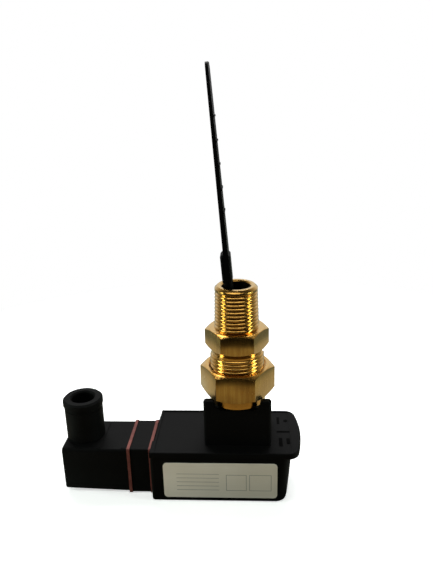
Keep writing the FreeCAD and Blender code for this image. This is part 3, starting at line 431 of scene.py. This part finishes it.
def welded_copy(node, name):
    """A copy of a solid with its points merged and its flat triangles joined into faces."""
    piece = bpy.data.objects.new(name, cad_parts[node].data.copy())
    bpy.context.scene.collection.objects.link(piece)
    edit(piece)
    bpy.ops.mesh.select_all(action="SELECT")
    bpy.ops.mesh.remove_doubles(threshold=weld)
    bpy.ops.mesh.dissolve_limited(angle_limit=math.radians(0.3))
    bpy.ops.mesh.customdata_custom_splitnormals_clear()
    done()
    return piece


print("helpers for edit mode; points merge below", weld * 1000, "mm")

# %% Helpers for edges
def finish_modifier(piece, kind, **settings):
    """Adds a modifier, sets it and applies it."""
    only(piece)
    made = piece.modifiers.new(kind.lower(), kind)
    for name, value in settings.items():
        setattr(made, name, value)
    bpy.ops.object.modifier_apply(modifier=made.name)


def smooth(piece, degrees):
    """Shades smoothly over every edge that turns by less than this angle."""
    only(piece)
    bpy.ops.object.shade_smooth_by_angle(angle=math.radians(degrees))


def soft_edges(piece, width):
    """Rounds each edge that turns by more than 24 degrees."""
    finish_modifier(piece, "BEVEL", width=width, segments=2, limit_method="ANGLE",
                    angle_limit=math.radians(24), miter_outer="MITER_ARC")


def reach(point):
    """How far a point is from the pipe's axis."""
    return math.hypot(point.x, point.y)


print("the nut's solid has", len(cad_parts["union_nut"].data.polygons), "triangles")

# %% [markdown]
# ## The screw thread
# A thread is one ridge wound round the pipe. It could be stacked from rings, as in the solids, but
# only a helix climbs. So we draw its section once, a tooth as wide as the pitch at its root and
# nearly sharp at its crest, and the Screw modifier winds it up. A pipe thread for sealing is also a
# cone, 1 in 16 on its diameter, so each point then moves in by its height. At the mouth the crests
# are cut back by the lead-in chamfer. Shading stays smooth over the crest, which draws one line of
# light along it.

# %% Ridge
pitch = 0.001814         # 14 threads to the inch
tooth = 0.001162         # height of the tooth
crest_share = 0.17       # share of the pitch that the crest keeps
root_share = 1.04        # the root is wider than the pitch, so that neighbouring turns overlap
sunk = 0.0003            # the root lies this deep in the core, so that no gap shows
hair = 0.0001            # less than the distance between any two points of the section


def ridge(name, crest, low, turns, taper, mouth):
    """A helical ridge; crest is its radius at the height low, mouth(z) the most it may reach."""
    bpy.ops.object.select_all(action="DESELECT")
    bpy.ops.mesh.primitive_plane_add(size=pitch, location=(crest, 0, low),
                                     rotation=(math.radians(90), 0, 0))
    piece = bpy.context.object
    piece.name = name
    bpy.ops.object.transform_apply(location=True, rotation=True, scale=True)
    edit(piece)
    pick(piece, lambda p: p.x > crest)
    bpy.ops.transform.translate(value=(-pitch / 2, 0, 0))
    bpy.ops.transform.resize(value=(1, 1, crest_share))
    pick(piece, lambda p: p.x < crest - hair)
    bpy.ops.transform.translate(value=(pitch / 2 - tooth - sunk, 0, 0))
    bpy.ops.transform.resize(value=(1, 1, root_share))
    done()
    finish_modifier(piece, "SCREW", axis="Z", angle=math.tau, screw_offset=pitch, iterations=turns,
                    steps=72, render_steps=72, use_smooth_shade=False)
    edit(piece)
    bpy.ops.mesh.select_all(action="SELECT")
    bpy.ops.mesh.remove_doubles(threshold=weld)
    bpy.ops.mesh.fill_holes(sides=4)
    bpy.ops.mesh.normals_make_consistent(inside=False)
    done()
    for point in piece.data.vertices:
        far = reach(point.co)
        wanted = min(far - taper * (point.co.z - low), mouth(point.co.z))
        point.co.x *= wanted / far
        point.co.y *= wanted / far
    smooth(piece, degrees=65)
    return piece


print("the ridge climbs", round(pitch * 1000, 3), "mm a turn and is", round(tooth * 1000, 3), "mm high")

# %% [markdown]
# ## The fitting under its threads
# The fitting is one turned piece: a taper thread above, a hexagon, a smooth collar and a straight
# thread below. Its solid has plain rings for threads. They are pressed in to the root here, which
# leaves the core for the two ridges to sit on. The last stretch at the mouth has no thread and
# stays as it is.

# %% Core of the fitting
fitting_low, fitting_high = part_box("process_adapter")
fitting = welded_copy("process_adapter", "threaded_fitting")
collar_low, collar_high = 0.0745, 0.0766        # smooth collar under the hexagon
hexagon_top = 0.0866
mouth_land = fitting_high.z - 0.0025            # above it the end is turned smooth and chamfered
upper_foot = 0.01088     # crest of the upper thread where it leaves the hexagon
taper = 1 / 32           # a pipe thread is 1 in 16 on its diameter
ring_depth = 0.0014      # the lower rings lie within this of their crest
bore_side, ring_side = 0.0086, 0.0112           # radii between which the upper rings lie
step = 0.00004           # height of the step where the core meets the collar
edit(fitting)
for height in (collar_low - step, collar_low):
    bpy.ops.mesh.select_all(action="SELECT")
    bpy.ops.mesh.bisect(plane_co=(0, 0, height), plane_no=(0, 0, 1))
done()
lower_crest = max(reach(p.co) for p in fitting.data.vertices if p.co.z < collar_low)
for point in fitting.data.vertices:
    far, z = reach(point.co), point.co.z
    in_lower = z < collar_low - step / 4 and far > lower_crest - ring_depth
    in_upper = hexagon_top - step / 2 < z < mouth_land and bore_side < far < ring_side
    root = lower_crest - tooth if in_lower else upper_foot - tooth - taper * (z - hexagon_top)
    if (in_lower or in_upper) and far > root:
        point.co.x *= root / far
        point.co.y *= root / far
soft_edges(fitting, width=0.00014)
smooth(fitting, degrees=30)
print("crests in mm:", round(lower_crest * 1000, 2), round(upper_foot * 1000, 2))
print("core:", len(fitting.data.polygons), "faces")

# %% Threads on the fitting
end_reach = 0.00902      # edge of the mouth
inside_crest = 0.00002   # the ridge stays this far inside the solid's crest
upper_start = hexagon_top - 0.0004              # its first turn comes out of the hexagon
lower_start = fitting_low.z + 0.0016            # its first turn clears the lower end
upper_turns, lower_turns = 11, 8
no_limit = 1


def chamfer_at_mouth(z):
    return end_reach + max(0.0, fitting_high.z - z)


upper = ridge("upper_ridge", upper_foot - inside_crest, upper_start, upper_turns, taper, chamfer_at_mouth)
lower = ridge("lower_ridge", lower_crest - inside_crest, lower_start, lower_turns, 0, lambda z: no_limit)
only(fitting)
upper.select_set(True)
lower.select_set(True)
bpy.ops.object.join()
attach(fitting, "fitting")
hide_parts("process_adapter")
print("fitting:", len(fitting.data.polygons), "faces")

# %% [markdown]
# ## The union nut
# The nut is a hexagon with turned ends. Its solid is right, but its edges are mathematically
# sharp, and no real edge is: a bevel of two tenths of a millimetre catches a line of light on each
# corner, which is what makes metal look like metal.

# %% Union nut
nut = welded_copy("union_nut", "union_nut_bright")
soft_edges(nut, width=0.0002)
smooth(nut, degrees=32)
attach(nut, "nut")
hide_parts("union_nut")
print("nut:", len(nut.data.polygons), "faces")

# %% [markdown]
# ## Which faces are drawn bar and which are turned
# Fitting and nut have three kinds of surface: the flats of the bar, whatever the tool has turned,
# and the inside. Painting a mask for them would take unwrapping. The faces tell by themselves: a
# flat is upright, large and between two heights, and a face of the inside looks at the axis.

# %% Flats, turned faces and bores
upright_slope = 0.05     # a face is upright when its normal rises by less than this
wall_slope = 0.5         # a wall of the bore may slope more


def drawn_and_turned(piece, low, high, least):
    """Gives each face its brass; flats lie between two heights and are larger than least."""
    turned_place, drawn_place, bore_place = range(3)
    piece.data.materials.clear()
    for finish in (turned_brass, drawn_brass, bore_painted_shade):
        piece.data.materials.append(finish)
    flats = 0
    for face in piece.data.polygons:
        middle = face.center
        upright_face = abs(face.normal.z) < upright_slope and low < middle.z < high
        inward = face.normal.x * middle.x + face.normal.y * middle.y < 0
        if upright_face and face.area > least:
            face.material_index = drawn_place
            flats += 1
        # faces of the inside take the painted shade in place of brass
        elif inward and abs(face.normal.z) < wall_slope:
            face.material_index = bore_place
        else:
            face.material_index = turned_place
    return flats


nut_low, nut_high = 0.053, 0.067                # the nut's hexagon
print("flats:", drawn_and_turned(fitting, collar_high, hexagon_top, least=0.00005),
      drawn_and_turned(nut, nut_low, nut_high, least=0.00008))

# %% [markdown]
# ## The lid, with softer horns
# The lid is moulded in one with its neck, whose front wall ends in two horns. Their outer corners
# are round. A bevel runs into the slopes of the notch between them and throws spikes there, so the
# corners are cut instead, as a file would: four slices on each side, each leaning a little more,
# with the edges between them shaded smoothly.

# %% Softer lid
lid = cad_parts["housing_lid"]
above_lid = Vector((0.024, 0, 0.1))             # over the flat of the lid, right of the neck
lid_face = lid.ray_cast(above_lid, Vector((0, 0, -1)))[1].z
horn_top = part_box("housing_lid")[1].z
horn_side = 0.0165       # half the width of the neck
corner_round = 0.0016
horn_foot = horn_top - 0.002                    # the corners are cut above this height only
moulded_lid = welded_copy("housing_lid", "moulded_lid")
edit(moulded_lid)
bpy.ops.mesh.select_all(action="SELECT")
bpy.ops.mesh.bisect(plane_co=(0, 0, horn_foot), plane_no=(0, 0, 1))
for side in (-1, 1):
    centre = Vector((side * (horn_side - corner_round), 0, horn_top - corner_round))
    for lean in (18, 36, 54, 72):
        outward = Vector((side * math.sin(math.radians(lean)), 0, math.cos(math.radians(lean))))
        pick(moulded_lid, lambda p: p.z > horn_foot - hair)
        bpy.ops.mesh.bisect(plane_co=centre + outward * corner_round, plane_no=outward,
                            use_fill=True, clear_outer=True)
done()
smooth(moulded_lid, degrees=30)
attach(moulded_lid, "housing")
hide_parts("housing_lid")
print("lid:", len(moulded_lid.data.polygons), "faces, its top at", round(lid_face * 1000, 2), "mm")

# %% [markdown]
# ## Moulded marks on the lid
# To the right of the neck the lid carries a few small raised marks from the mould, here only
# plain shapes: a bar, a round pip, a fine line and two pads. Each starts as a block or disc that
# stands on the lid's own surface, which a ray cast down onto the solid has found, and its top edge
# is chamfered as a mould would leave it. They are blacker than the lid, with hardly any gloss.

# %% Lid marks
mark_high = 0.00025
mark_sunk = 0.00005      # each mark stands this deep in the lid
mark_edge = 0.00008


def mark(name, x, y, wide, deep, round_ends=False):
    bpy.ops.object.select_all(action="DESELECT")
    place = (x, y, lid_face + mark_high / 2 - mark_sunk)
    if round_ends:
        bpy.ops.mesh.primitive_cylinder_add(vertices=40, radius=wide / 2, depth=mark_high, location=place)
    else:
        bpy.ops.mesh.primitive_cube_add(size=1, location=place, scale=(wide, deep, mark_high))
    piece = bpy.context.object
    piece.name = name
    bpy.ops.object.transform_apply(location=True, rotation=True, scale=True)
    edit(piece)
    pick(piece, lambda p: p.z > lid_face)
    bpy.ops.mesh.bevel(offset=mark_edge, segments=2)
    done()
    piece.data.materials.append(mark_black)
    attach(piece, "housing")
    return piece


marks = [
    mark("lid_mark_bar", 0.0208, 0.0104, wide=0.0013, deep=0.0062),
    mark("lid_mark_pip", 0.0247, 0.0102, wide=0.0021, deep=0.0021, round_ends=True),
    mark("lid_mark_line", 0.0230, -0.0002, wide=0.0066, deep=0.0011),
    mark("lid_mark_pad", 0.0213, -0.0095, wide=0.0018, deep=0.0070),
    mark("lid_mark_stop", 0.0251, -0.0086, wide=0.0017, deep=0.0046),
]
print(len(marks), "marks on the lid,", round((mark_high - mark_sunk) * 1000, 2), "mm proud")

# %% [markdown]
# ## Floor
# Glossy metal shows its surroundings, so the surroundings are the real lighting work. The camera
# sees a plain white sheet with the object's soft shadow on it. The same white all round would make
# the brass pale and flat, so every other ray meets a second, darker sheet: brown round the base,
# nearly black further out, with a pale band a little in front of each side, as between two soft
# boxes, and a greyer one behind. The pale bands are painted light in place of soft boxes, and the
# brown and black reaches are painted shade. The Is Camera Ray output of a Light Path node parts the
# two sheets. What the metal shows is then the second sheet, and not the white one.

# %% White sheet, as the camera sees it
floor_gap = 0.0002       # the sheet lies just under the base
bpy.ops.object.select_all(action="DESELECT")
bpy.ops.mesh.primitive_plane_add(size=6, location=(0, 1.5, cad_low.z - floor_gap))
floor = bpy.context.object
floor.name = "floor"
bpy.ops.object.transform_apply(location=True, rotation=False, scale=False)
paper = Finish("paper")
fibre = paper.noise((500, 500, 500))
sheet_white = paper.mix(fibre, (0.97, 0.97, 0.97), (1, 1, 1))
lit = paper.node("ShaderNodeBsdfDiffuse", None, {"Color": sheet_white})
glow = paper.node("ShaderNodeEmission", None, {"Color": (1, 1, 1, 1), "Strength": 0.55})
pale = paper.node("ShaderNodeAddShader", None, {0: lit, 1: glow})
white = paper.node("ShaderNodeEmission", None, {"Color": (1, 1, 1, 1), "Strength": 1.0})
# how far a spot of the sheet is from the middle of the base, in metres
reach_out = paper.node("ShaderNodeVectorMath", {"operation": "LENGTH"}, {0: paper.place()}, "Value")
swept = paper.node("ShaderNodeMixShader", None, {0: reach_out.within(0.16, 0.34), 1: pale, 2: white})
print("white sheet at", round((cad_low.z - floor_gap) * 1000, 2), "mm")

# %% Darker sheet, as the brass sees it
# painted light and shade for the brass to mirror: pale bands at the sides and behind in place of soft
# boxes, brown and black reaches as painted shade
under_brown, near_brown = (0.02, 0.018, 0.015), (0.34, 0.26, 0.16)
far_black, painted_band_light = (0.012, 0.009, 0.006), (0.71, 0.76, 0.66)
near = paper.mix(reach_out.within(0.03, 0.07), under_brown, near_brown)
ahead = paper.mix(reach_out.within(0.16, 0.21), near, far_black)
rearward = paper.along("Y", paper.place()) / reach_out      # -1 in front, 0 at the sides, 1 behind
side_bands = rearward.within(-0.4, -0.26) * (1 - rearward.within(-0.14, 0.0) * 0.84)
paleness = side_bands + rearward.within(0.6, 0.9) * 0.4
dim = paper.node("ShaderNodeBsdfDiffuse", None, {"Color": paper.mix(paleness, ahead, painted_band_light)})
seen = paper.node("ShaderNodeLightPath", output="Is Camera Ray")
paper.node("ShaderNodeOutputMaterial", None,
           {"Surface": paper.node("ShaderNodeMixShader", None, {0: seen, 1: dim, 2: swept})})
floor.data.materials.append(paper.owner)
print("both sheets are one material of", len(paper.tree.nodes), "nodes")

# %% [markdown]
# ## World and lamps
# The room behind the object is white and the room in front of it is nearly dark, while the camera
# sees plain white everywhere. Two wide lamps hang above, one behind and a dim one in front, and
# light the upper flanks of the threads. A narrow upright one on each side, tinted a little green,
# draws the bright lines down round brass.

# %% World
room = Finish("room", bpy.data.worlds.new("room"))
bpy.context.scene.world = room.owner
looking = room.node("ShaderNodeTexCoord", output="Generated")
behind = room.along("Y", looking).within(0.1, 0.8)
level_of_light = behind * 0.7 + 0.03
from_camera = room.node("ShaderNodeLightPath", output="Is Camera Ray")
strength = level_of_light * (1 - from_camera) + from_camera
background = room.node("ShaderNodeBackground", None, {"Color": (1, 1, 1, 1), "Strength": strength})
room.node("ShaderNodeOutputWorld", None, {"Surface": background})
print("room is white behind and dark in front")

# %% Lamps
object_middle = (cad_low + cad_high) / 2


def lamp(name, place, wide, high, watts, tint=(1, 1, 1)):
    """A rectangular lamp that points at the middle of the object."""
    data = bpy.data.lights.new(name, "AREA")
    data.shape = "RECTANGLE"
    data.size = wide
    data.size_y = high
    data.energy = watts
    data.color = tint
    made = bpy.data.objects.new(name, data)
    bpy.context.scene.collection.objects.link(made)
    made.location = place
    made.rotation_euler = (object_middle - Vector(place)).to_track_quat("-Z", "Y").to_euler()


side_tint = (0.86, 1, 0.9)
lamp("back_lamp", (-0.1, 0.6, 1.05), wide=0.9, high=0.5, watts=11.0)
lamp("front_lamp", (-0.1, -0.5, 1.05), wide=1.6, high=0.2, watts=2.2)
lamp("left_lamp", (-0.75, -0.18, 0.15), wide=0.15, high=0.7, watts=4.6, tint=side_tint)
lamp("right_lamp", (0.75, -0.18, 0.15), wide=0.15, high=0.7, watts=4.6, tint=side_tint)
print("four lamps round", [round(c, 3) for c in object_middle])
